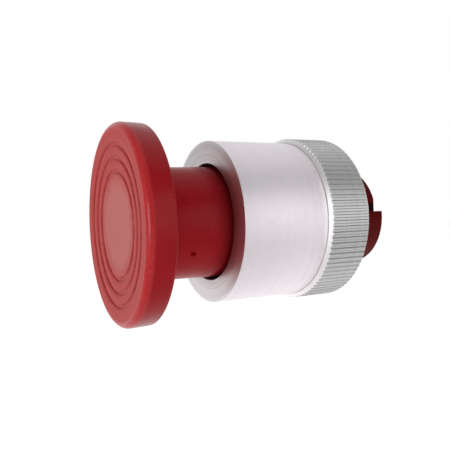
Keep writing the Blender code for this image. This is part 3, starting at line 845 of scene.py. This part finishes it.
refinish("spindle", steel)
refinish("spring_cup", steel)
refinish("stop_ring", spring_wire)
refinish("pusher_washer", spring_wire)
black_plastic = plastic("black_plastic", (0.018, 0.018, 0.020), (0.032, 0.032, 0.035), (0.40, 0.52), 0.45)
refinish("pusher", black_plastic)
refinish("pusher_screw", steel)


# ---- Clamp ring ---------------------------------------------------------------------------------
# Straight-knurled aluminium nut on the collar's thread, turned by hand to press the gasket on the
# panel. The teeth run out on a chamfer at each end, a recess in its back holds the gasket, and its
# front edge laps a little way over the collar's end.

ring_low, ring_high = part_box("clamp_ring")
ring_radius = ring_high.x
ring_front_y = ring_low.y - 0.25 * MM
tooth_count = 96
tooth_depth = 0.22 * MM
steps_per_tooth = 8
front_chamfer = 0.6 * MM
lap_radius = collar_radius + 0.05 * MM
lap_y = ring_front_y - 0.3 * MM
back_chamfer = 1.2 * MM
flange_front_y = -3.4 * MM
recess_floor_y = -2.2 * MM
ring_thread_radius = 16.2 * MM
recess_radii = (12.4 * MM, 15.4 * MM)
through_hole = 11.2 * MM
teeth_y = (lap_y + front_chamfer, -back_chamfer)
ring = turn("knurled_ring", [
    (ring_thread_radius, ring_front_y),
    (lap_radius, ring_front_y),
    (lap_radius, lap_y),
    (ring_radius - front_chamfer, lap_y),
    (ring_radius, teeth_y[0]),
    (ring_radius, teeth_y[1]),
    (ring_radius - back_chamfer, 0),
    (recess_radii[1], 0),
    (recess_radii[1], recess_floor_y),
    (recess_radii[0], recess_floor_y),
    (recess_radii[0], 0),
    (through_hole, 0),
    (through_hole, flange_front_y),
    (ring_thread_radius, flange_front_y),
], tooth_count * steps_per_tooth)
bpy.ops.object.mode_set(mode="EDIT")
for phase in (4, 5, 6, 7):
    depth = tooth_depth
    for y, run_out in zip(teeth_y, (-depth, depth)):
        def in_groove(spot):
            step = round(math.atan2(spot.z, spot.x) / (2 * math.pi) * tooth_count * steps_per_tooth)
            on_tip = abs(math.hypot(spot.x, spot.z) - ring_radius) < 1e-5 and abs(spot.y - y) < 1e-5
            return on_tip and step % steps_per_tooth == phase
        select_where(ring, in_groove)
        inward = (ring_radius - depth) / ring_radius
        bpy.ops.transform.resize(value=(inward, 1, inward), center_override=(0, y, 0))
        bpy.ops.transform.translate(value=(0, run_out, 0))
bpy.ops.object.mode_set(mode="OBJECT")
bpy.ops.object.shade_smooth_by_angle(angle=math.radians(20))
knurled_aluminium = turned_metal(
    "knurled_aluminium", (0.54, 0.54, 0.535), (0.64, 0.64, 0.635), (0.38, 0.50), 0.006 * MM)
tree = knurled_aluminium.node_tree
wall_angle = 3.5 / steps_per_tooth * 2 * math.pi / tooth_count
from_wall = repeats(tree, coordinate(tree, "TURN"), wall_angle, math.pi / tooth_count)
on_wall = band(tree, from_wall, -1.0, 0.17 * math.pi / tooth_count, 0.20 * math.pi / tooth_count)
knurl_wall_shade = product(tree, on_wall, band(tree, "R", ring_radius - 0.5 * MM, 1.0, 0.2 * MM))
wash(knurled_aluminium, film(tree, 0.4, 0.0), (0.68, 0.68, 0.67))
# Painted shade: the tooth walls near the tips are painted dark grey, in spots, standing in for the shade in the
# knurl's grooves.
wash(knurled_aluminium, film(tree, product(tree, knurl_wall_shade, 0.55), 0.3), (0.20, 0.20, 0.20))
# Painted highlight: the front lap and chamfer, up to where the teeth start, are painted near white, standing in
# for the light they catch.
wash(knurled_aluminium, band(tree, "Y", -1.0, teeth_y[0] + 0.15 * MM, 0.15 * MM), (0.98, 0.95, 0.96), 0.45)
wash(knurled_aluminium, band(tree, "Y", teeth_y[1] + 0.25 * MM, 1.0, 0.2 * MM), (0.88, 0.86, 0.87), 0.16)
dress(ring, knurled_aluminium, "clamp_nut", "knurled_aluminium", "clamp_ring")


# ---- Panel gasket and slip washer ---------------------------------------------------------------
# Rubber ring in the clamp ring's back that seals on the panel, and the steel ring behind it that
# lets the clamp ring turn without dragging the rubber round.

gasket_low, gasket_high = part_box("panel_gasket")
gasket_bore = 12.7 * MM
gasket = turn("gasket_ring", blunt([
    (gasket_bore, gasket_low.y),
    (gasket_high.x, gasket_low.y),
    (gasket_high.x, gasket_high.y),
    (gasket_bore, gasket_high.y),
], 0.18 * MM), 128)
bpy.ops.object.shade_smooth_by_angle(angle=math.radians(40))
dress(gasket, black_rubber, "gasket_carrier", "black_rubber", "panel_gasket")
refinish("slip_washer", steel)


# ---- Studio -------------------------------------------------------------------------------------
# A flat pale floor that glows behind the button, a white surround and soft area lights. The lens and
# the place of the camera are those of a close product shot from the button's right side.

backdrop_way = (-0.887, 0.461, 0.0)
floor_drop = 70 * MM


def studio_floor(glow):
    """A white floor that glows behind the button, as a lit sweep does, and looks evenly pale all over."""
    bpy.ops.object.select_all(action="DESELECT")
    bpy.ops.mesh.primitive_plane_add(size=6, location=(0, 0, -floor_drop))
    bpy.ops.object.transform_apply(location=True, rotation=True, scale=True)
    floor = bpy.context.object
    floor.name = "studio_floor"
    material = bpy.data.materials.new("studio_floor")
    material.use_nodes = True
    tree = material.node_tree
    shader = tree.nodes["Principled BSDF"]
    shader.inputs["Base Color"].default_value = (0.9, 0.9, 0.9, 1)
    shader.inputs["Roughness"].default_value = 0.9
    shader.inputs["Specular IOR Level"].default_value = 0.1
    shader.inputs["Emission Color"].default_value = (1, 1, 1, 1)
    place = add_node(tree, "ShaderNodeTexCoord").outputs["Object"]
    behind = add_node(tree, "ShaderNodeVectorMath", [(0, place), (1, backdrop_way)], operation="DOT_PRODUCT")
    strength = add_node(tree, "ShaderNodeMapRange", [
        ("Value", behind.outputs["Value"]), ("From Min", -0.09), ("From Max", 0.06), ("To Max", glow)],
        interpolation_type="SMOOTHSTEP")
    seen = add_node(tree, "ShaderNodeLightPath").outputs["Is Camera Ray"]
    even = calculate(tree, "MAXIMUM", strength.outputs[0], product(tree, seen, glow))
    tree.links.new(even, shader.inputs["Emission Strength"])
    floor.data.materials.append(material)


def soft_light(name, place, aim, size, watts):
    data = bpy.data.lights.new(name, "AREA")
    data.shape = "DISK"
    data.size = size
    data.energy = watts
    light = bpy.data.objects.new(name, data)
    light.location = place
    light.rotation_euler = (Vector(aim) - Vector(place)).to_track_quat("-Z", "Y").to_euler()
    bpy.context.scene.collection.objects.link(light)


def light_tent(levels):
    """A tent round the button: levels run from its dark opening to its bright back. It looks white itself."""
    world = bpy.data.worlds.new("light_tent")
    world.use_nodes = True
    tree = world.node_tree
    direction = add_node(tree, "ShaderNodeTexCoord").outputs["Generated"]
    backwards = add_node(
        tree, "ShaderNodeVectorMath", [(0, direction), (1, backdrop_way)], operation="DOT_PRODUCT")
    along = add_node(tree, "ShaderNodeMapRange", [("Value", backwards.outputs["Value"]), ("From Min", -1.0)])
    ramp = add_node(tree, "ShaderNodeValToRGB", [("Fac", along.outputs[0])])
    stops = ramp.color_ramp.elements
    while len(stops) < len(levels):
        stops.new(0.5)
    for stop, (place, level) in zip(stops, levels):
        stop.position = place
        stop.color = (level, level, level, 1)
    seen = add_node(tree, "ShaderNodeLightPath").outputs["Is Camera Ray"]
    shown = tint(tree, seen, ramp.outputs["Color"], (1.0, 1.0, 1.0))
    tree.links.new(shown, tree.nodes["Background"].inputs["Color"])
    bpy.context.scene.world = world


studio_floor(0.58)
middle = (0, -0.022, 0)
light_tent([(0.03, 0.10), (0.25, 0.30), (0.55, 0.42), (0.78, 0.60), (0.92, 1.0)])
soft_light("front_light", (0.175, -0.492, 0.03), middle, 0.22, 1.1)
soft_light("right_light", (0.444, 0.209, 0.05), middle, 0.50, 0.62)
soft_light("top_light", (0.0, 0.103, 0.485), middle, 0.50, 0.22)

camera_data = bpy.data.cameras.new("camera")
camera_data.lens = 44.13
camera_data.sensor_width = 36
camera_data.clip_start = 0.005
camera = bpy.data.objects.new("camera", camera_data)
camera.location = (0.10506, -0.07992, 0.00136)
camera_aim = Vector((0, -0.02534, -0.00085))
camera_roll = math.radians(-2.06)
camera.rotation_mode = "QUATERNION"
camera.rotation_quaternion = (
    (camera_aim - camera.location).to_track_quat("-Z", "Y") @ Quaternion((0, 0, 1), camera_roll))
bpy.context.scene.collection.objects.link(camera)
bpy.context.scene.camera = camera
bpy.context.scene.view_settings.view_transform = "Standard"
